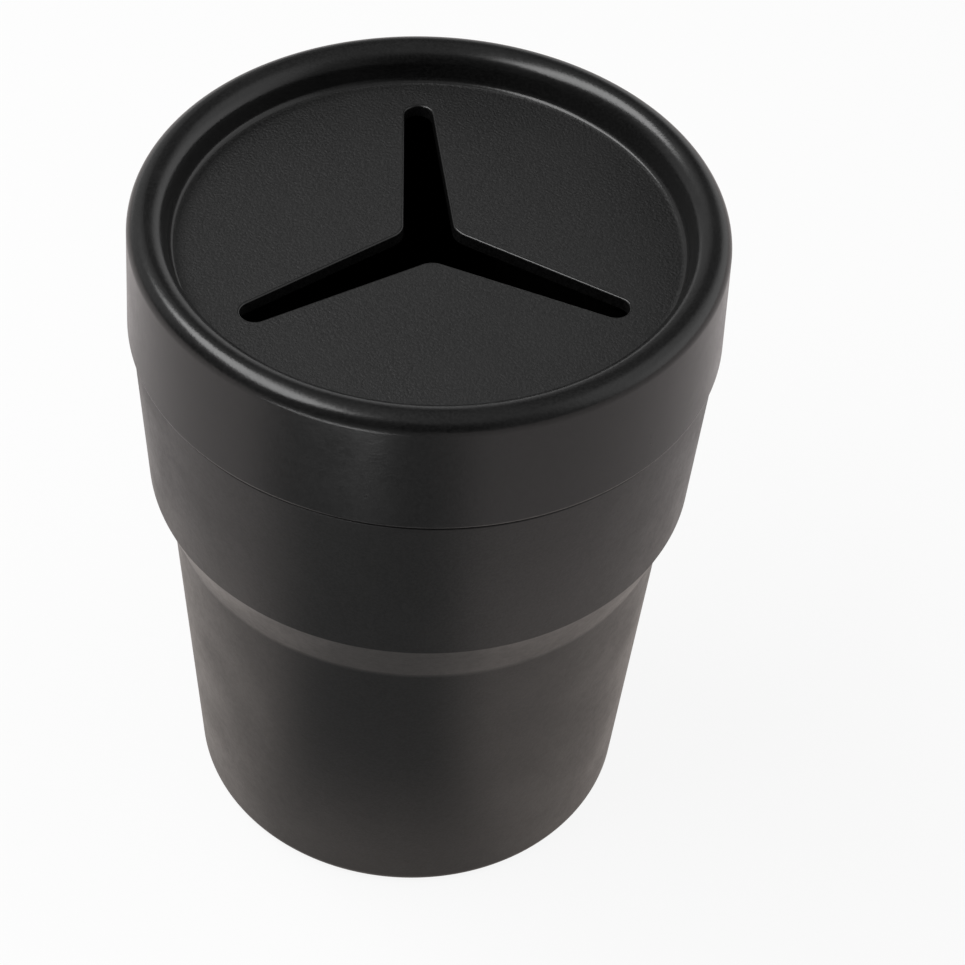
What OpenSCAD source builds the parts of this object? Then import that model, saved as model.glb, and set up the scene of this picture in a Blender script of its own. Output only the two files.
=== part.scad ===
// A small car waste bin: a tapered, shouldered cup that drops into a cup holder,
// and a push-on lid with a sunk floor and a three-armed slot. Millimetres, +Z up,
// with the origin at the middle of the base.

/* [Cup outside] */
// Diameter just above the rounded base edge
base_d = 65; // [50:0.5:75]
// Radius of the rounded edge round the base
base_round = 2; // [0.5:0.1:4]
// Height of the lower wall, up to the flare
lower_h = 52.5; // [35:0.5:75]
// Height of the flare that rests on a cup holder's rim
flare_h = 8.1; // [5:0.1:14]
// How far the flare stands out, measured along the radius
flare_out = 2.9; // [1.5:0.1:5]
// Radius of the soft blend under the flare
flare_blend = 4; // [1:0.1:8]
// Radius of the shoulder's edge over the flare
shoulder_round = 0.4; // [0.1:0.05:1]
// Height of the upper wall, from the shoulder to the ledge under the lid
upper_h = 25.85; // [15:0.05:45]
// Lean of the lower wall from upright, in degrees
lower_draft = 3.8; // [1:0.1:6]
// Lean of the upper wall from upright, in degrees
upper_draft = 3.2; // [1:0.1:6]

/* [Cup inside and foot] */
// Thickness of the cup's wall
wall = 1.8; // [1.2:0.1:2.6]
// Thickness of the cup's base over the foot's recess
base_t = 2; // [1.2:0.1:4]
// Radius of the fillet between base and wall, inside
inner_round = 3; // [1:0.1:6]
// Width of the foot ring that the cup stands on
foot_w = 4; // [2:0.1:8]
// Depth of the recess within the foot ring
foot_recess = 0.8; // [0.3:0.1:2]

/* [Neck] */
// Height of the neck that the lid covers
neck_h = 11; // [7:0.1:13]
// Thickness of the neck's wall at its foot
neck_t = 1.6; // [1.3:0.1:2.2]
// Height of the snap bead over the ledge
bead_at = 4; // [2.5:0.1:5.5]
// How far the snap bead stands out of the neck
bead_out = 0.15; // [0.05:0.05:0.15]
// Radius of the snap bead's round face
bead_round = 0.9; // [0.5:0.1:1.2]

/* [Lid] */
// Height of the rim's crest over the top of the neck
rim_over_neck = 7.55; // [5:0.05:12]
// How far the lid's lower edge stands out over the cup's wall
lid_overhang = 0.55; // [0:0.05:1.2]
// Thickness of the skirt at its lower edge
skirt_t = 1.7; // [1.4:0.1:2.4]
// Lean of the skirt and the neck from upright, in degrees
lid_draft = 1.9; // [0.5:0.1:2.5]
// Radius of the skirt's lower edge
skirt_round = 0.6; // [0.2:0.05:1]
// Radius of the rim's outer rounding
rim_outer_round = 2.4; // [1:0.1:3]
// Radius of the rounding between the rim's crest and its inner slope
rim_inner_round = 1.3; // [0.8:0.1:2.5]
// How far the rim's inner slope falls, from the crest to the bend into the recess
rim_fall = 1.5; // [0.5:0.1:1.8]
// Lean of the rim's inner slope from level, in degrees
rim_fall_lean = 40; // [34:1:60]
// Radius of the bend from that slope down into the recess wall
rim_bend_round = 3; // [0.3:0.1:4]
// Thickness of the rim's shell over the channel that takes the neck
rim_t = 1.5; // [1:0.1:1.8]
// Thickness of the recess wall at its upper end
recess_t = 1.3; // [0.8:0.1:2]
// Depth of the sunk floor under the crest of the rim
recess_depth = 5; // [3.5:0.1:7]
// How far the recess wall leans in from the rim to the floor
recess_lean = 0.95; // [0.4:0.05:2]
// Radius of the fillet between the recess wall and the floor
recess_fillet = 1.1; // [0.3:0.05:1.5]
// Thickness of the floor
floor_t = 1.8; // [1.2:0.1:3]
// Thickness of the locating ring under the floor
plug_t = 1.4; // [1:0.1:2]
// Height of the locating ring under the floor
plug_h = 6; // [3:0.1:10]

/* [Slot] */
// Floor left between the tip of each arm and the recess wall
slot_margin = 5.5; // [3:0.1:15]
// Half width of the arms where they meet
slot_root_r = 3.5; // [2.5:0.05:5]
// Radius of each arm's round tip
slot_tip_r = 1.95; // [1:0.05:2.4]
// Radius of the three rounded corners between the arms
slot_corner_r = 3; // [1:0.1:6]
// Radius of the slot's rounded top edge
slot_edge_r = 0.3; // [0.1:0.05:0.6]

/* [Fit] */
// Gap between the lid and the neck, on either side of the neck
fit_gap = 0.3; // [0.2:0.05:0.5]
// Gap that shows as the seam between the ledge and the lid
seam_gap = 0.3; // [0.1:0.05:0.6]
// Radius that breaks an edge nobody sees
edge_break = 0.3; // [0.1:0.05:0.5]

/* [Hidden] */
$fn = 160;

// A cut runs this far past the face that it opens
past = 1;
// Number of arms of the slot, the angle between them, and the way the first one points
arms = 3;
arm_step = 360 / arms;
first_arm = 90;

// Heights, stacked from the base up
flare_z = lower_h;
shoulder_z = flare_z + flare_h;
ledge_z = shoulder_z + upper_h;
neck_top_z = ledge_z + neck_h;
bead_z = ledge_z + bead_at;
skirt_z = ledge_z + seam_gap;
crest_z = neck_top_z + rim_over_neck;
lid_h = crest_z - skirt_z;
bend_z = crest_z - rim_fall;
channel_z = min(crest_z, bend_z + recess_t * tan(rim_fall_lean)) - rim_t;
floor_z = crest_z - recess_depth;
under_floor_z = floor_z - floor_t;
cup_floor_z = foot_recess + base_t;

// Slopes of the leaning walls, in millimetres of radius for each of height
lower_slope = tan(lower_draft);
upper_slope = tan(upper_draft);
lid_slope = tan(lid_draft);

// Radii of the cup's outer face
foot_r = base_d / 2 - base_round * lower_slope;
flare_r = foot_r + flare_z * lower_slope;
shoulder_r = flare_r + flare_out;
ledge_r = shoulder_r + upper_h * upper_slope;

// Radii where the lid and the neck meet, each worked out from the one outside it
skirt_r = ledge_r + lid_overhang;
skirt_in_r = skirt_r - skirt_t;
neck_r = skirt_in_r - fit_gap;
neck_in_r = neck_r - neck_t;
plug_r = neck_in_r - fit_gap;
plug_in_r = plug_r - plug_t;
recess_r = plug_r - recess_t;
floor_r = recess_r - recess_lean;

// The slot's arms taper from a circle at the root to one at the tip
tip_at = floor_r - slot_margin - slot_tip_r;
arm_taper = asin((slot_root_r - slot_tip_r) / tip_at);
corner_at = (slot_root_r + slot_corner_r) / cos(arm_step / 2 - 90 + arm_taper);

function polar(r, a) = [r * cos(a), r * sin(a)];
function unit(v) = v / norm(v);
function arc_steps(r) = r < 1 ? 5 : 10;

// Half of the angle at b between the ways to a and to c
function half_angle(a, b, c) = acos(max(-1, min(1, unit(a - b) * unit(c - b)))) / 2;

// Points of the arc that rounds corner b and leaves its two sides `reach` away from it
function corner_arc(a, b, c, reach) =
    let (
        half = half_angle(a, b, c),
        r = reach * tan(half),
        centre = b + unit(unit(a - b) + unit(c - b)) * r / sin(half),
        from = b + unit(a - b) * reach - centre,
        to = b + unit(c - b) * reach - centre,
        a0 = atan2(from.y, from.x),
        turn = (atan2(to.y, to.x) - a0 + 540) % 360 - 180,
        n = arc_steps(r)
    )
    [for (i = [0 : n]) centre + polar(r, a0 + turn * i / n)];

// Closed outline through corners given as [r, z, rounding]. Where two roundings on one
// side are longer than that side, both shrink to share it.
function rounded(corners) =
    let (
        n = len(corners),
        p = [for (c = corners) [c[0], c[1]]],
        before = [for (i = [0 : n - 1]) (i + n - 1) % n],
        after = [for (i = [0 : n - 1]) (i + 1) % n],
        want = [for (i = [0 : n - 1]) corners[i][2] / tan(half_angle(p[before[i]], p[i], p[after[i]]))],
        share = [
            for (i = [0 : n - 1])
            want[i] == 0 ? 0 : want[i] * min(
                1,
                norm(p[i] - p[before[i]]) / (want[i] + want[before[i]]),
                norm(p[i] - p[after[i]]) / (want[i] + want[after[i]])
            )
        ]
    )
    [for (i = [0 : n - 1]) each share[i] == 0 ? [p[i]] : corner_arc(p[before[i]], p[i], p[after[i]], share[i])];

// Half section of the cup's shell, from the middle of its base out, up and back inside
module cup_section() {
    polygon(rounded([
        [0, foot_recess, 0],
        [foot_r - base_round - foot_w, foot_recess, edge_break],
        [foot_r - base_round - foot_w, 0, edge_break],
        [foot_r, 0, base_round],
        [flare_r, flare_z, flare_blend],
        [shoulder_r, shoulder_z, shoulder_round],
        [ledge_r, ledge_z, edge_break],
        [neck_r, ledge_z, edge_break],
        [neck_r - neck_h * lid_slope, neck_top_z, edge_break],
        [neck_in_r, neck_top_z, edge_break],
        [neck_in_r, ledge_z - wall / 2, wall],
        [ledge_r - wall - 2 * wall * upper_slope, ledge_z - 2 * wall, wall],
        [shoulder_r - wall, shoulder_z, flare_blend],
        [flare_r - wall, flare_z, flare_blend],
        [foot_r + cup_floor_z * lower_slope - wall, cup_floor_z, inner_round],
        [0, cup_floor_z, 0]
    ]));
}

// Half section of the low round bead that runs round the neck
module bead_section() {
    bead_r = neck_r - bead_at * lid_slope;
    intersection() {
        translate([bead_r + bead_out - bead_round, bead_z]) circle(r = bead_round);
        translate([bead_r - neck_t / 2, bead_z - bead_round]) square([neck_t, 2 * bead_round]);
    }
}

module cup() {
    color([0.16, 0.15, 0.15]) rotate_extrude() {
        cup_section();
        bead_section();
    }
}

// Half section of the lid: floor, locating ring, channel for the neck, skirt, rim and recess
module lid_section() {
    polygon(rounded([
        [0, under_floor_z, 0],
        [plug_in_r, under_floor_z, edge_break],
        [plug_in_r, under_floor_z - plug_h, edge_break],
        [plug_r, under_floor_z - plug_h, edge_break],
        [plug_r, channel_z, edge_break],
        [skirt_in_r - (channel_z - skirt_z) * lid_slope, channel_z, edge_break],
        [skirt_in_r, skirt_z, edge_break],
        [skirt_r, skirt_z, skirt_round],
        [skirt_r - lid_h * lid_slope, crest_z, rim_outer_round],
        [recess_r + rim_fall / tan(rim_fall_lean), crest_z, rim_inner_round],
        [recess_r, bend_z, rim_bend_round],
        [floor_r, floor_z, recess_fillet],
        [0, floor_z, 0]
    ]));
}

// The groove in the skirt that the neck's bead sits in
module bead_groove() {
    groove_r = skirt_in_r - (bead_z - skirt_z) * lid_slope;
    rotate_extrude()
    translate([groove_r + bead_out - bead_round, bead_z]) circle(r = bead_round);
}

// Outline of the slot: three tapered arms with round tips, joined over rounded corners
module slot_outline() {
    for (k = [0 : arms - 1]) rotate(first_arm + k * arm_step) {
        polygon([
            polar(slot_root_r, arm_taper - 90),
            [tip_at, 0] + polar(slot_tip_r, arm_taper - 90),
            [tip_at, 0] + polar(slot_tip_r, 90 - arm_taper),
            polar(slot_root_r, 90 - arm_taper)
        ]);
        translate([tip_at, 0]) circle(r = slot_tip_r);
    }
    difference() {
        polygon([
            for (k = [0 : arms - 1])
            let (a = first_arm + k * arm_step, c = polar(corner_at, a + arm_step / 2))
            each [
                c - polar(slot_corner_r, a + 90 - arm_taper),
                c,
                c - polar(slot_corner_r, a + arm_step - 90 + arm_taper)
            ]
        ]);
        for (k = [0 : arms - 1]) translate(polar(corner_at, first_arm + (k + 0.5) * arm_step))
            circle(r = slot_corner_r);
    }
}

// What the rounded edge takes away, with x into the floor and y up from its top
module edge_profile() {
    difference() {
        translate([-slot_edge_r, -slot_edge_r]) square([2 * slot_edge_r, slot_edge_r + past]);
        translate([slot_edge_r, -slot_edge_r]) circle(r = slot_edge_r);
    }
}

// The rounded edge along one straight side, between a corner and a tip
module side_edge() {
    corner = polar(corner_at, arm_step / 2) - polar(slot_corner_r, 90 - arm_taper);
    tip = [tip_at, 0] + polar(slot_tip_r, 90 - arm_taper);
    translate(corner) rotate([0, 0, -arm_taper]) rotate([90, 0, 90])
        linear_extrude(norm(tip - corner)) edge_profile();
}

// The rounded edge along all the straight sides
module side_edges() {
    for (k = [0 : arms - 1]) rotate([0, 0, first_arm + k * arm_step]) {
        side_edge();
        mirror([0, 1, 0]) side_edge();
    }
}

// The rounded edge round the tips of the arms
module tip_edges() {
    for (k = [0 : arms - 1]) rotate([0, 0, first_arm + k * arm_step]) translate([tip_at, 0, 0])
        rotate_extrude() translate([slot_tip_r, 0]) edge_profile();
}

// The rounded edge round the corners between the arms
module corner_edges() {
    turn = 180 - arm_step - 2 * arm_taper;
    for (k = [0 : arms - 1]) rotate([0, 0, first_arm + (k + 0.5) * arm_step]) translate([corner_at, 0, 0])
        rotate([0, 0, 180 - turn / 2])
        rotate_extrude(angle = turn) translate([slot_corner_r, 0]) mirror([1, 0]) edge_profile();
}

module lid() {
    color([0.15, 0.15, 0.155]) difference() {
        rotate_extrude() lid_section();
        bead_groove();
        translate([0, 0, under_floor_z - past]) linear_extrude(floor_t + 2 * past) slot_outline();
        translate([0, 0, floor_z]) side_edges();
        translate([0, 0, floor_z]) tip_edges();
        translate([0, 0, floor_z]) corner_edges();
    }
}

cup();
lid();
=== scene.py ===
"""Looks of a small car waste bin: cup, push-on lid, floor, light and camera"""

import math

import bmesh
import bpy
from mathutils import Matrix, Vector


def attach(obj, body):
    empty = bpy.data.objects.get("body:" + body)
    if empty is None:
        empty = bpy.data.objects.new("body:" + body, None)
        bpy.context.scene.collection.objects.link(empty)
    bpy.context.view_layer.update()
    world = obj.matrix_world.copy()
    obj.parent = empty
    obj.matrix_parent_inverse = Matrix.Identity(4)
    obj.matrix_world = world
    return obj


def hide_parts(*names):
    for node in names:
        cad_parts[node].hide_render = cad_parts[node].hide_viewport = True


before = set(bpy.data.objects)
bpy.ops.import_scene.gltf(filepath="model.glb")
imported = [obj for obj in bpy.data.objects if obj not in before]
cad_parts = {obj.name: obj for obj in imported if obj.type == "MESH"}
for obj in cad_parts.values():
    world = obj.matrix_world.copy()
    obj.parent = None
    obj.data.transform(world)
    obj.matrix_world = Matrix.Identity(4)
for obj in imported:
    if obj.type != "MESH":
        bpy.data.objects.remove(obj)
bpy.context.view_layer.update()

MM = 0.001
UM = 1e-6

# Cup. All sizes of the two pieces are in millimetres and degrees, as in the part's source
BASE_D = 65
BASE_ROUND = 2
LOWER_H = 52.5
FLARE_H = 8.1
FLARE_OUT = 2.9
FLARE_BLEND = 4
SHOULDER_ROUND = 0.4
UPPER_H = 25.85
LOWER_DRAFT = 3.8
UPPER_DRAFT = 3.2
WALL = 1.8
BASE_T = 2
INNER_ROUND = 3
FOOT_W = 4
FOOT_RECESS = 0.8

# Neck and its snap bead
NECK_H = 11
NECK_T = 1.6
BEAD_AT = 4
BEAD_OUT = 0.15
BEAD_ROUND = 0.9

# Lid
RIM_OVER_NECK = 7.55
LID_OVERHANG = 0.55
SKIRT_T = 1.7
LID_DRAFT = 1.9
SKIRT_ROUND = 0.6
RIM_OUTER_ROUND = 2.4
RIM_FALL = 1.5
RIM_FALL_LEAN = 40
RIM_T = 1.5
RECESS_T = 1.3
RECESS_DEPTH = 5
RECESS_LEAN = 0.95
RECESS_FILLET = 1.1
FLOOR_T = 1.8
PLUG_T = 1.4
PLUG_H = 6

# The rim's crest rolls into the recess in one round of this radius, whose corner lies here
RIM_ROLL = 2.9
ROLL_R = 35.39
# Height to which the floor's grain runs up the foot of the fillet
GRAIN_RISE = 0.12

# Slot
SLOT_MARGIN = 5.5
SLOT_ROOT_R = 3.5
SLOT_TIP_R = 1.95
SLOT_CORNER_R = 3
SLOT_EDGE_R = 0.3
ARMS = 3
ARM_STEP = 120
FIRST_ARM = 90

# Fit
FIT_GAP = 0.3
SEAM_GAP = 0.3
EDGE_BREAK = 0.3

# Finish of each plastic: tone of its pigment, how much redder than blue it is, how uneven the
# pigment is, specular level, roughness and its spread, height of the surface's slow roll, height
# and width of the mould's grain, and the share of spots that carry a speck of dust
CUP_FINISH = dict(
    tone=0.0065, warm=0.02, mottle=0.4, gloss=0.41, roughness=0.36, rough_spread=0.08,
    peel_um=11, grain_um=11, grain_mm=0.40, dust=0.010,
)
LID_FINISH = dict(
    tone=0.007, warm=0.0, mottle=0.4, gloss=0.43, roughness=0.23, rough_spread=0.06,
    peel_um=10, grain_um=13, grain_mm=0.35, dust=0.02,
)
LID_FLOOR_FINISH = dict(
    tone=0.0045, warm=0.0, mottle=0.8, gloss=0.43, roughness=0.54, rough_spread=0.06,
    peel_um=4, grain_um=130, grain_mm=0.38, dust=0.07,
)
# Width in millimetres of the slow roll, of the rubbed patches and of the scuffs, and the width and
# height that the grain's finer half has beside the grain
PEEL_MM = 2.2
PATCH_MM = 14.0
SCUFF_MM = 1.1
FINE_GRAIN = 0.35
# How much paler the pigment is where it is rubbed
RUBBED = 1.5
# Dust: tone, how thickly it covers, spacing and width of its specks, and how far they stand up
DUST = 0.45
DUST_COVER = 0.5
DUST_SPACING_MM = 3.2
DUST_MM = 0.16
DUST_UM = 30

# Radiance of the room and its ceiling, and what the backdrop, the walls and the front add to it
ROOM = 0.10
CEILING = 0.30
BACKDROP = 0.7
RIGHT_WALL = 0.75
LEFT_WALL = 0.42
FRONT = 0.12
# Share of the room's light that whoever takes the picture hides, and white that gloss sees in
# the backdrop
FIGURE_SHADE = 0.8
BACKDROP_WHITE = 0.6

# Where these are seen from the bin: azimuth and elevation of the middle, how far from it each one
# stays full, and how far it reaches, in degrees. The backdrop is two parts that overlap.
BEHIND_RIGHT_AT = (48, 0, 30, 62)
BEHIND_LOW_AT = (20, 0, 40, 76)
RIGHT_WALL_AT = (84, 25, 20, 46)
LEFT_WALL_AT = (-50, 28, 18, 44)
FRONT_AT = (140, 15, 30, 90)
FIGURE_AT = (180, 20, 14, 37)
# Upward part of the direction between which the backdrop's parts fade and the ceiling starts
BEHIND_RIGHT_TOP = (0.30, 0.55)
BEHIND_LOW_TOP = (0.06, 0.17)
CEILING_START = (0.65, 0.95)

# Floor: width in metres, how far it lies under the foot in millimetres, and its paper
FLOOR_SIZE = 6
FLOOR_DROP = 0.02
PAPER_MM = 0.8
PAPER_TONES = (0.80, 0.84)
PAPER_ROUGHNESS = 0.9
PAPER_SPECULAR = 0.2
# Painted light in the floor as gloss sees it: its colour close to the bin, painted brighter there,
# and away from it, and the distances from the bin's axis, in metres, between which one turns into
# the other
FLOOR_PAINTED_LIGHT_CLOSE = (0.90, 0.80, 0.745, 1)
FLOOR_PAINTED_LIGHT_AWAY = (0.70, 0.635, 0.625, 1)
FLOOR_TURNS = (0.055, 0.10)
# Painted shadow of whoever takes the picture, a lane in front that gloss sees in the floor: tone,
# direction like those above, how far its middle line passes beside the axis, and the distances
# between which it comes up, in metres, from this share of it
PAINTED_SHADOW_TONE = 0.2
LANE_AT = (-159, 0, 17, 44)
LANE_ASIDE = 0.010
LANE_STARTS = (0.035, 0.054)
LANE_CLOSE = 0.35
# Share of plain white that the camera sees in the floor, and the shares of the painted light and
# painted shadow that gloss sees in it away from the lane and in it, beside the rest that is lit
FLOOR_WHITE = 0.90
FLOOR_GLOSS = 0.7
LANE_GLOSS = 0.9

# Height in metres at which the lamps aim
LAMP_AIM = 0.08

# The photograph is taken with the bin turned by this much, so that one arm points along +Y here
PHOTO_TURN = 5.4

# Camera, fitted to the photograph: angles in radians, eye in millimetres
PITCH = 0.7961
YAW = 0.0275
ROLL = 0.0702
FOCAL_PX = 2721.18
FRAME_PX = 965
SENSOR_MM = 36
EYE_MM = Vector((1.67, -277.30, 337.76))
CLIP_START = 0.01

# Fineness of the meshes: steps round the axis, degrees for each step of an arc, the radius from
# which arcs get twice the steps, and steps of the bead, the slot's tips, its corners and its edge
AROUND = 384
ARC_STEP = 9
FINE_ARC = 1.5
BEAD_STEPS = 10
TIP_STEPS = 24
CORNER_STEPS = 16
EDGE_STEPS = 6
# A point of an outline this close to the axis lies on it, and a wall this close to the bead
# carries it
ON_AXIS = 1e-6
BEAD_REACH = 1
# Edges that bend by more than this are sharp, and large faces weigh so much in the normals
SHARP_ANGLE = 40
FACE_WEIGHT = 60
# Place of the grained plastic in the lid's list of materials
GRAINED = 1


def slope(degrees):
    """Millimetres of radius for each millimetre of height on a wall that leans so much"""
    return math.tan(math.radians(degrees))


def polar(r, degrees):
    return (r * math.cos(math.radians(degrees)), r * math.sin(math.radians(degrees)))


LOWER_SLOPE = slope(LOWER_DRAFT)
UPPER_SLOPE = slope(UPPER_DRAFT)
LID_SLOPE = slope(LID_DRAFT)

# Heights
SHOULDER_Z = LOWER_H + FLARE_H
LEDGE_Z = SHOULDER_Z + UPPER_H
NECK_TOP_Z = LEDGE_Z + NECK_H
BEAD_Z = LEDGE_Z + BEAD_AT
SKIRT_Z = LEDGE_Z + SEAM_GAP
CREST_Z = NECK_TOP_Z + RIM_OVER_NECK
LID_H = CREST_Z - SKIRT_Z
CHANNEL_Z = min(CREST_Z, CREST_Z - RIM_FALL + RECESS_T * slope(RIM_FALL_LEAN)) - RIM_T
FLOOR_Z = CREST_Z - RECESS_DEPTH
UNDER_Z = FLOOR_Z - FLOOR_T
CUP_FLOOR_Z = FOOT_RECESS + BASE_T

# Radii
FOOT_R = BASE_D / 2 - BASE_ROUND * LOWER_SLOPE
FLARE_R = FOOT_R + LOWER_H * LOWER_SLOPE
SHOULDER_R = FLARE_R + FLARE_OUT
LEDGE_R = SHOULDER_R + UPPER_H * UPPER_SLOPE
SKIRT_R = LEDGE_R + LID_OVERHANG
SKIRT_IN_R = SKIRT_R - SKIRT_T
NECK_R = SKIRT_IN_R - FIT_GAP
NECK_IN_R = NECK_R - NECK_T
PLUG_R = NECK_IN_R - FIT_GAP
PLUG_IN_R = PLUG_R - PLUG_T
RECESS_R = PLUG_R - RECESS_T
FLOOR_R = RECESS_R - RECESS_LEAN

# Slot
TIP_AT = FLOOR_R - SLOT_MARGIN - SLOT_TIP_R
ARM_TAPER = math.degrees(math.asin((SLOT_ROOT_R - SLOT_TIP_R) / TIP_AT))
CORNER_AT = (SLOT_ROOT_R + SLOT_CORNER_R) / math.cos(math.radians(ARM_STEP / 2 - 90 + ARM_TAPER))


# Outlines

def rounded(corners):
    """Closed outline through corners given as (r, z, rounding). Where two roundings on one
    side are longer than that side, both shrink to share it."""
    n = len(corners)
    p = [Vector(c[:2]) for c in corners]
    to_before = [(p[i - 1] - p[i]).normalized() for i in range(n)]
    to_after = [(p[(i + 1) % n] - p[i]).normalized() for i in range(n)]
    half = [to_before[i].angle(to_after[i]) / 2 for i in range(n)]
    want = [c[2] / math.tan(h) for c, h in zip(corners, half)]
    points = []
    for i in range(n):
        if want[i] == 0:
            points.append(tuple(p[i]))
            continue
        reach = want[i] * min(
            1,
            (p[i] - p[i - 1]).length / (want[i] + want[i - 1]),
            (p[i] - p[(i + 1) % n]).length / (want[i] + want[(i + 1) % n]),
        )
        r = reach * math.tan(half[i])
        centre = p[i] + (to_before[i] + to_after[i]).normalized() * r / math.sin(half[i])
        start = p[i] + to_before[i] * reach - centre
        end = p[i] + to_after[i] * reach - centre
        a0 = math.atan2(start.y, start.x)
        turn = (math.atan2(end.y, end.x) - a0 + 3 * math.pi) % (2 * math.pi) - math.pi
        steps = max(3, round(abs(math.degrees(turn)) / ARC_STEP))
        if r > FINE_ARC:
            steps *= 2
        for k in range(steps + 1):
            a = a0 + turn * k / steps
            points.append((centre.x + r * math.cos(a), centre.y + r * math.sin(a)))
    return points


def bead_arc(lean_r, out):
    """Points of the low round bead, from below it to above it, on a wall that passes
    through lean_r at the bead's height"""
    half = math.acos((BEAD_ROUND - out) / BEAD_ROUND)
    centre = lean_r + out - BEAD_ROUND
    points = []
    for k in range(BEAD_STEPS + 1):
        a = -half + 2 * half * k / BEAD_STEPS
        rise = BEAD_ROUND * math.sin(a)
        points.append((centre + BEAD_ROUND * math.cos(a) - rise * LID_SLOPE, BEAD_Z + rise))
    return points


def with_bead(points, bead):
    """The outline with the bead's points put into the wall that crosses its height"""
    low, high = bead[0][1], bead[-1][1]
    for i in range(len(points) - 1):
        (r0, z0), (r1, z1) = points[i], points[i + 1]
        crosses = min(z0, z1) < low and max(z0, z1) > high
        if crosses and abs(r0 - bead[0][0]) < BEAD_REACH and abs(r0 - r1) < BEAD_REACH:
            return points[:i + 1] + (bead if z1 > z0 else bead[::-1]) + points[i + 1:]
    raise ValueError("no wall crosses the bead's height")


def cup_outline():
    outline = rounded([
        (0, FOOT_RECESS, 0),
        (FOOT_R - BASE_ROUND - FOOT_W, FOOT_RECESS, EDGE_BREAK),
        (FOOT_R - BASE_ROUND - FOOT_W, 0, EDGE_BREAK),
        (FOOT_R, 0, BASE_ROUND),
        (FLARE_R, LOWER_H, FLARE_BLEND),
        (SHOULDER_R, SHOULDER_Z, SHOULDER_ROUND),
        (LEDGE_R, LEDGE_Z, EDGE_BREAK),
        (NECK_R, LEDGE_Z, EDGE_BREAK),
        (NECK_R - NECK_H * LID_SLOPE, NECK_TOP_Z, EDGE_BREAK),
        (NECK_IN_R, NECK_TOP_Z, EDGE_BREAK),
        (NECK_IN_R, LEDGE_Z - WALL / 2, WALL),
        (LEDGE_R - WALL - 2 * WALL * UPPER_SLOPE, LEDGE_Z - 2 * WALL, WALL),
        (SHOULDER_R - WALL, SHOULDER_Z, FLARE_BLEND),
        (FLARE_R - WALL, LOWER_H, FLARE_BLEND),
        (FOOT_R + CUP_FLOOR_Z * LOWER_SLOPE - WALL, CUP_FLOOR_Z, INNER_ROUND),
        (0, CUP_FLOOR_Z, 0),
    ])
    return with_bead(outline, bead_arc(NECK_R - BEAD_AT * LID_SLOPE, BEAD_OUT))


def lid_outline():
    """Round half of the lid's section, from the underside of its floor to the floor's top"""
    outline = rounded([
        (0, UNDER_Z, 0),
        (PLUG_IN_R, UNDER_Z, EDGE_BREAK),
        (PLUG_IN_R, UNDER_Z - PLUG_H, EDGE_BREAK),
        (PLUG_R, UNDER_Z - PLUG_H, EDGE_BREAK),
        (PLUG_R, CHANNEL_Z, EDGE_BREAK),
        (SKIRT_IN_R - (CHANNEL_Z - SKIRT_Z) * LID_SLOPE, CHANNEL_Z, EDGE_BREAK),
        (SKIRT_IN_R, SKIRT_Z, EDGE_BREAK),
        (SKIRT_R, SKIRT_Z, SKIRT_ROUND),
        (SKIRT_R - LID_H * LID_SLOPE, CREST_Z, RIM_OUTER_ROUND),
        (ROLL_R, CREST_Z, RIM_ROLL),
        (FLOOR_R, FLOOR_Z, RECESS_FILLET),
        (0, FLOOR_Z, 0),
    ])
    return with_bead(outline[1:-1], bead_arc(SKIRT_IN_R - (BEAD_Z - SKIRT_Z) * LID_SLOPE, BEAD_OUT))


def slot_ring(grow):
    """Points round the slot, this far outside its wall"""
    ring = []
    for k in range(ARMS):
        a = FIRST_ARM + k * ARM_STEP
        tip = polar(TIP_AT, a)
        reach = 90 - ARM_TAPER
        for i in range(TIP_STEPS + 1):
            x, y = polar(SLOT_TIP_R + grow, a - reach + 2 * reach * i / TIP_STEPS)
            ring.append((tip[0] + x, tip[1] + y))
        middle = polar(CORNER_AT, a + ARM_STEP / 2)
        start = a + reach
        turn = 180 - ARM_STEP - 2 * ARM_TAPER
        for i in range(CORNER_STEPS + 1):
            x, y = polar(SLOT_CORNER_R - grow, start - turn * i / CORNER_STEPS)
            ring.append((middle[0] - x, middle[1] - y))
    return ring


# Meshes

def add_object(name, data):
    """New object in the scene that carries this data"""
    item = bpy.data.objects.new(name, data)
    bpy.context.scene.collection.objects.link(item)
    return item


def add_ring(bm, flat_points, z):
    return [bm.verts.new((x * MM, y * MM, z * MM)) for x, y in flat_points]


def circle(r):
    return [polar(r, 360 * k / AROUND) for k in range(AROUND)]


def bridge(bm, one, two, material=0):
    """Faces between two rings of the same count, facing out where one lies below two"""
    n = len(one)
    for i in range(n):
        j = (i + 1) % n
        bm.faces.new((one[i], one[j], two[j], two[i])).material_index = material


def lathe(bm, outline, material=0):
    """Turns the outline round the axis and returns its first and last ring. A point on the
    axis closes the surface there."""
    rings = []
    for r, z in outline:
        at_axis = r < ON_AXIS
        rings.append([bm.verts.new((0, 0, z * MM))] if at_axis else add_ring(bm, circle(r), z))
    for one, two in zip(rings, rings[1:]):
        if len(one) == 1 or len(two) == 1:
            hub, ring = (one[0], two) if len(one) == 1 else (two[0], one)
            for i in range(AROUND):
                pair = (ring[(i + 1) % AROUND], ring[i])
                face = bm.faces.new((hub, *pair) if len(one) == 1 else (hub, *pair[::-1]))
                face.material_index = material
        else:
            bridge(bm, one, two, material)
    return rings[0], rings[-1]


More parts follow.
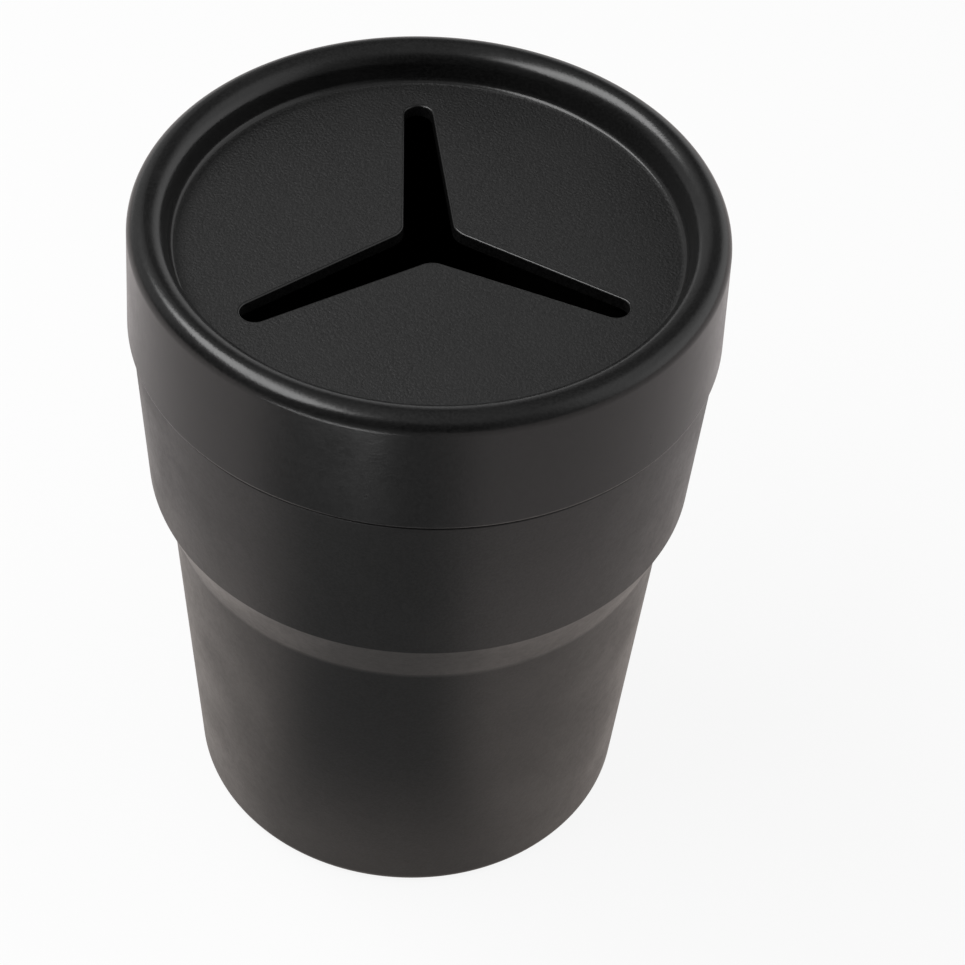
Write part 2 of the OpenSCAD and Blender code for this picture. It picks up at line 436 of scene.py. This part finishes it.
def fill_between(bm, outer, inner, up, material=0):
    """Flat faces between an outer ring and an inner one"""
    edges = []
    for ring in (outer, inner):
        for i in range(len(ring)):
            pair = (ring[i], ring[(i + 1) % len(ring)])
            edges.append(bm.edges.get(pair) or bm.edges.new(pair))
    normal = (0, 0, 1 if up else -1)
    made = bmesh.ops.triangle_fill(bm, edges=edges, use_beauty=True, normal=normal)
    for face in (f for f in made["geom"] if isinstance(f, bmesh.types.BMFace)):
        face.material_index = material
        face.normal_update()
        if (face.normal.z > 0) != up:
            face.normal_flip()


def finish_piece(name, bm, materials, body, node):
    """The mesh as a piece of the object that stands for a node"""
    mesh = bpy.data.meshes.new(name)
    for face in bm.faces:
        face.smooth = True
    bm.normal_update()
    for edge in bm.edges:
        edge.smooth = edge.calc_face_angle(0) < math.radians(SHARP_ANGLE)
    bm.to_mesh(mesh)
    bm.free()
    for material in materials:
        mesh.materials.append(material)
    piece = add_object(name, mesh)
    weighted = piece.modifiers.new("weighted", "WEIGHTED_NORMAL")
    weighted.keep_sharp = True
    weighted.weight = FACE_WEIGHT
    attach(piece, body)
    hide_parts(node)
    return piece


# Materials

class Nodes:
    """Short ways to add nodes to a material or a world"""

    def __init__(self, tree):
        self.tree = tree
        self.tree.nodes.clear()

    def add(self, kind, **values):
        """A node. A value with a name that the node has as a property is set there, any other on
        the input of that name, with _ for a blank."""
        node = self.tree.nodes.new("ShaderNode" + kind)
        for name, value in values.items():
            if hasattr(node, name):
                setattr(node, name, value)
            else:
                self.set(node.inputs[name.replace("_", " ")], value)
        return node

    def set(self, socket, value):
        if isinstance(value, bpy.types.NodeSocket):
            self.tree.links.new(value, socket)
        else:
            socket.default_value = value

    def math(self, operation, *values):
        node = self.add("Math", operation=operation)
        for socket, value in zip(node.inputs, values):
            self.set(socket, value)
        return node.outputs[0]

    def ramp(self, value, low, high, to_low=0.0, to_high=1.0):
        """value mapped from low..high to to_low..to_high, and held there"""
        node = self.add("MapRange", interpolation_type="SMOOTHSTEP")
        for socket, number in zip(node.inputs, (value, low, high, to_low, to_high)):
            self.set(socket, number)
        return node.outputs[0]

    def mix(self, factor, a, b):
        """Colour between a and b. The node's sockets for colours are 6, 7 and 2."""
        node = self.add("Mix", data_type="RGBA")
        self.set(node.inputs[0], factor)
        self.set(node.inputs[6], a)
        self.set(node.inputs[7], b)
        return node.outputs[2]

    def noise(self, where, size_mm, detail=2.0, roughness=0.5):
        """Noise whose blobs are about size_mm wide"""
        node = self.add("TexNoise", Scale=1 / (size_mm * MM), Detail=detail, Roughness=roughness)
        self.set(node.inputs["Vector"], where)
        return node.outputs[0]

    def specks(self, where, spacing_mm, size_mm, share):
        """1 in small round specks, in this share of the cells of a grid, and 0 elsewhere"""
        cell = self.add("TexVoronoi", Scale=1 / (spacing_mm * MM))
        self.set(cell.inputs["Vector"], where)
        pick = self.add("SeparateColor")
        self.set(pick.inputs[0], cell.outputs["Color"])
        chosen = self.math("LESS_THAN", pick.outputs[0], share)
        size = self.math("MULTIPLY", pick.outputs[1], size_mm / spacing_mm)
        inside = self.math("LESS_THAN", cell.outputs["Distance"], size)
        return self.math("MULTIPLY", chosen, inside)


def grey(value, warm=0.0):
    """Grey that is warmer by this share of it in red, and as much less in blue"""
    return (value * (1 + warm), value, value * (1 - warm), 1)


def plastic(
    name, *, tone, warm, mottle, gloss, roughness, rough_spread, peel_um, grain_um, grain_mm, dust
):
    """Moulded black plastic: a slow roll of the surface, mould grain, patches that are rubbed
    or dull, and a little dust"""
    material = bpy.data.materials.new(name)
    material.use_nodes = True
    n = Nodes(material.node_tree)
    where = n.add("TexCoord").outputs["Object"]
    grain = n.noise(where, grain_mm, detail=2.0, roughness=0.55)
    fine = n.noise(where, grain_mm * FINE_GRAIN, detail=1.0)
    peel = n.noise(where, PEEL_MM, detail=1.0)
    patch = n.noise(where, PATCH_MM, detail=3.0, roughness=0.55)
    scuff = n.noise(where, SCUFF_MM, detail=4.0, roughness=0.7)
    speck = n.specks(where, DUST_SPACING_MM, DUST_MM, dust)

    # Colour: slightly uneven pigment, paler in the grain's peaks, and pale specks of dust
    dark = grey(tone * (1 - mottle), warm)
    light = grey(tone * (1 + mottle), warm)
    base = n.mix(n.ramp(grain, 0.35, 0.65), dark, light)
    rubbed = n.math("MULTIPLY", n.ramp(patch, 0.5, 0.75), 0.5)
    worn = n.mix(rubbed, base, grey(tone * RUBBED, warm))
    colour = n.mix(n.math("MULTIPLY", speck, DUST_COVER), worn, grey(DUST, 0.02))

    # Roughness: broad and fine unevenness round the stated value
    broad = n.math("MULTIPLY", n.ramp(patch, 0.3, 0.7), rough_spread)
    scuffed = n.math("MULTIPLY", n.ramp(scuff, 0.35, 0.7), rough_spread * 0.6)
    rough = n.math("ADD", n.math("ADD", broad, scuffed), roughness - rough_spread * 0.8)

    # Height in metres
    texture = n.math(
        "ADD",
        n.math("MULTIPLY", grain, grain_um * UM),
        n.math("MULTIPLY", fine, grain_um * FINE_GRAIN * UM),
    )
    height = n.math("ADD", n.math("MULTIPLY", peel, peel_um * UM), texture)
    height = n.math("ADD", height, n.math("MULTIPLY", speck, DUST_UM * UM))
    bump = n.add("Bump", Strength=1.0, Distance=1.0, Height=height)

    shader = n.add(
        "BsdfPrincipled", Base_Color=colour, Roughness=rough, IOR=1.5, Normal=bump.outputs[0]
    )
    shader.inputs["Specular IOR Level"].default_value = gloss
    n.add("OutputMaterial", Surface=shader.outputs[0])
    material.diffuse_color = grey(tone * 3, warm)
    return material


cup_plastic = plastic("cup_plastic", **CUP_FINISH)
lid_plastic = plastic("lid_plastic", **LID_FINISH)
floor_plastic = plastic("lid_floor_grain", **LID_FLOOR_FINISH)


def make_cup():
    bm = bmesh.new()
    lathe(bm, cup_outline())
    finish_piece("bin_cup", bm, [cup_plastic], "cup", "cup")


def make_lid():
    """Lid with the slot through its floor, and the floor's grain up to the foot of the fillet"""
    bm = bmesh.new()
    under_ring, floor_ring = lathe(bm, lid_outline())
    for face in bm.faces:
        middle = face.calc_center_median() / MM
        if 0 < middle.z - FLOOR_Z < GRAIN_RISE and middle.xy.length < RECESS_R:
            face.material_index = GRAINED
    slot_rings = []
    for step in range(EDGE_STEPS + 1):
        a = math.radians(90 * step / EDGE_STEPS)
        grow = SLOT_EDGE_R * (1 - math.sin(a))
        depth = SLOT_EDGE_R * (1 - math.cos(a))
        slot_rings.append(add_ring(bm, slot_ring(grow), FLOOR_Z - depth))
    slot_rings.append(add_ring(bm, slot_ring(0), UNDER_Z))
    for one, two in zip(slot_rings, slot_rings[1:]):
        bridge(bm, one, two)
    fill_between(bm, floor_ring, slot_rings[0], up=True, material=GRAINED)
    fill_between(bm, under_ring, slot_rings[-1], up=False)
    finish_piece("bin_lid", bm, [lid_plastic, floor_plastic], "lid", "lid")


make_cup()
make_lid()


# Surroundings

def towards(azimuth, elevation):
    """Direction from the bin. Azimuth 0 is straight away from the camera, 90 to its right."""
    a = math.radians(azimuth + PHOTO_TURN)
    e = math.radians(elevation)
    return Vector((math.sin(a) * math.cos(e), math.cos(a) * math.cos(e), math.sin(e)))


def facing(n, way, azimuth, elevation, inner, outer):
    """1 within this many degrees of a direction, and 0 beyond the outer angle"""
    node = n.add("VectorMath", operation="DOT_PRODUCT")
    n.set(node.inputs[0], way)
    node.inputs[1].default_value = towards(azimuth, elevation)
    low, high = math.cos(math.radians(outer)), math.cos(math.radians(inner))
    return n.ramp(node.outputs["Value"], low, high)


def any_of(n, *kinds):
    """The path of light that the node looks at, and 1 where it is one of these kinds"""
    path = n.add("LightPath")
    return path, n.math("MAXIMUM", *(path.outputs[kind] for kind in kinds))


def painted_shadow_lane(n, where, reach):
    """1 on the floor in front of the bin, where the shadow of whoever takes the picture is painted
    """
    aside = n.add("VectorMath", operation="SUBTRACT")
    n.set(aside.inputs[0], where)
    aside.inputs[1].default_value = towards(90, 0) * LANE_ASIDE
    unit = n.add("VectorMath", operation="NORMALIZE")
    n.set(unit.inputs[0], aside.outputs[0])
    near = n.ramp(reach, *LANE_STARTS, LANE_CLOSE, 1.0)
    return n.math("MULTIPLY", facing(n, unit.outputs["Vector"], *LANE_AT), near)


def floor_looks():
    """Pale floor that shows white and keeps the bin's shadow. What gloss sees in it is painted
    light and shadow: brighter close to the bin, with a painted shadow lane in front
    """
    material = bpy.data.materials.new("pale_floor")
    material.use_nodes = True
    n = Nodes(material.node_tree)
    where = n.add("TexCoord").outputs["Object"]
    paper = n.noise(where, PAPER_MM, detail=3.0)
    tone = n.mix(paper, *(grey(value) for value in PAPER_TONES))
    matt = n.add("BsdfPrincipled", Base_Color=tone, Roughness=PAPER_ROUGHNESS)
    matt.inputs["Specular IOR Level"].default_value = PAPER_SPECULAR
    path, clear = any_of(n, "Is Camera Ray", "Is Transmission Ray")
    glossy = path.outputs["Is Glossy Ray"]
    length = n.add("VectorMath", operation="LENGTH")
    n.set(length.inputs[0], where)
    reach = length.outputs["Value"]
    # Painted shadow of whoever takes the picture, in front of the bin
    painted_shadow = painted_shadow_lane(n, where, reach)
    # Painted light: the floor brighter close to the bin, as gloss sees it
    painted_light_falloff = n.mix(n.ramp(reach, *FLOOR_TURNS), FLOOR_PAINTED_LIGHT_CLOSE, FLOOR_PAINTED_LIGHT_AWAY)
    painted_light_and_shadow = n.mix(painted_shadow, painted_light_falloff, grey(PAINTED_SHADOW_TONE))
    white = n.add("Emission", Strength=1.0)
    n.set(white.inputs["Color"], n.mix(glossy, grey(1.0), painted_light_and_shadow))
    # Gloss sees more of the painted shadow inside the lane
    to_gloss = n.math("MULTIPLY", glossy, n.ramp(painted_shadow, 0.0, 1.0, FLOOR_GLOSS, LANE_GLOSS))
    blend = n.add("MixShader")
    n.set(blend.inputs[0], n.math("ADD", n.math("MULTIPLY", clear, FLOOR_WHITE), to_gloss))
    n.set(blend.inputs[1], matt.outputs[0])
    n.set(blend.inputs[2], white.outputs[0])
    n.add("OutputMaterial", Surface=blend.outputs[0])
    return material


def room_light(n, way):
    """Radiance of the room in each direction, and the mask of its backdrop"""
    split = n.add("SeparateXYZ")
    n.set(split.inputs[0], way)
    z = split.outputs[2]
    parts = [
        n.math("MULTIPLY", n.ramp(z, *top, 1.0, 0.0), facing(n, way, *place))
        for top, place in (
            (BEHIND_RIGHT_TOP, BEHIND_RIGHT_AT),
            (BEHIND_LOW_TOP, BEHIND_LOW_AT),
        )
    ]
    backdrop = n.math("MAXIMUM", *parts)
    room = n.ramp(z, *CEILING_START, ROOM, CEILING)
    for radiance, mask in (
        (BACKDROP, backdrop),
        (RIGHT_WALL, facing(n, way, *RIGHT_WALL_AT)),
        (LEFT_WALL, facing(n, way, *LEFT_WALL_AT)),
        (FRONT, facing(n, way, *FRONT_AT)),
    ):
        room = n.math("ADD", room, n.math("MULTIPLY", mask, radiance))
    shade = n.math("MULTIPLY", facing(n, way, *FIGURE_AT), FIGURE_SHADE)
    return n.math("MULTIPLY", room, n.math("SUBTRACT", 1.0, shade)), backdrop


def studio_world():
    """World: white where the camera sees it. Round the bin it is a dim room with a pale backdrop
    low down behind it, a pale wall on each side and the dark shape of whoever takes the picture"""
    world = bpy.data.worlds.new("studio")
    bpy.context.scene.world = world
    world.use_nodes = True
    n = Nodes(world.node_tree)
    room, backdrop = room_light(n, n.add("TexCoord").outputs["Generated"])
    path, seen = any_of(n, "Is Camera Ray", "Is Transmission Ray")
    pale = n.math("MULTIPLY", backdrop, BACKDROP_WHITE)
    reflected = n.math("MULTIPLY", path.outputs["Is Glossy Ray"], pale)
    white = n.math("MAXIMUM", seen, reflected)
    rest = n.math("MULTIPLY", room, n.math("SUBTRACT", 1.0, white))
    sky = n.add("Background", Color=(1, 1, 1, 1), Strength=n.math("ADD", rest, white))
    n.add("OutputWorld", Surface=sky.outputs[0])


def area_lamp(name, azimuth, elevation, distance, width, height, radiance):
    """Area lamp that faces the lid, with its distance and size in metres"""
    lamp = bpy.data.lights.new(name, "AREA")
    lamp.shape = "RECTANGLE"
    lamp.size = width
    lamp.size_y = height
    lamp.energy = radiance * math.pi * width * height
    box = add_object(name, lamp)
    away = towards(azimuth, elevation)
    box.location = Vector((0, 0, LAMP_AIM)) + away * distance
    box.rotation_euler = away.to_track_quat("Z", "Y").to_euler()
    return box


def fitted_camera():
    """Camera of the photograph, turned so that the bin's slot lies along +Y"""
    ahead = Vector((math.sin(YAW), math.cos(YAW), 0))
    forward = ahead * math.cos(PITCH) - Vector((0, 0, math.sin(PITCH)))
    level = Vector((math.cos(YAW), -math.sin(YAW), 0))
    over = level.cross(forward)
    right = math.cos(ROLL) * level + math.sin(ROLL) * over
    up = -math.sin(ROLL) * level + math.cos(ROLL) * over
    turn = Matrix.Rotation(math.radians(-PHOTO_TURN), 3, "Z")
    pose = Matrix((turn @ right, turn @ up, turn @ -forward)).transposed().to_4x4()
    pose.translation = turn @ EYE_MM * MM
    camera = bpy.data.cameras.new("camera")
    camera.sensor_width = SENSOR_MM
    camera.lens = FOCAL_PX * SENSOR_MM / FRAME_PX
    camera.clip_start = CLIP_START
    eye = add_object("camera", camera)
    eye.matrix_world = pose
    return eye


bpy.ops.mesh.primitive_plane_add(size=FLOOR_SIZE, location=(0, 0, -FLOOR_DROP * MM))
floor = bpy.context.object
floor.name = "pale_floor"
floor.data.materials.append(floor_looks())

studio_world()
area_lamp(
    "left_softbox", azimuth=-92, elevation=59, distance=0.8, width=0.85, height=0.33, radiance=6.6
)

# A bright strip just above the floor in front, turned up and hidden from the camera
bright_patch = area_lamp(
    "bright_patch", azimuth=-147, elevation=-17.66, distance=0.2571, width=0.19, height=0.045,
    radiance=6.0,
)
bright_patch.rotation_euler = Vector((0, 0, -1)).to_track_quat("Z", "Y").to_euler()
bright_patch.visible_camera = False

bpy.context.scene.camera = fitted_camera()
bpy.context.scene.view_settings.view_transform = "Standard"
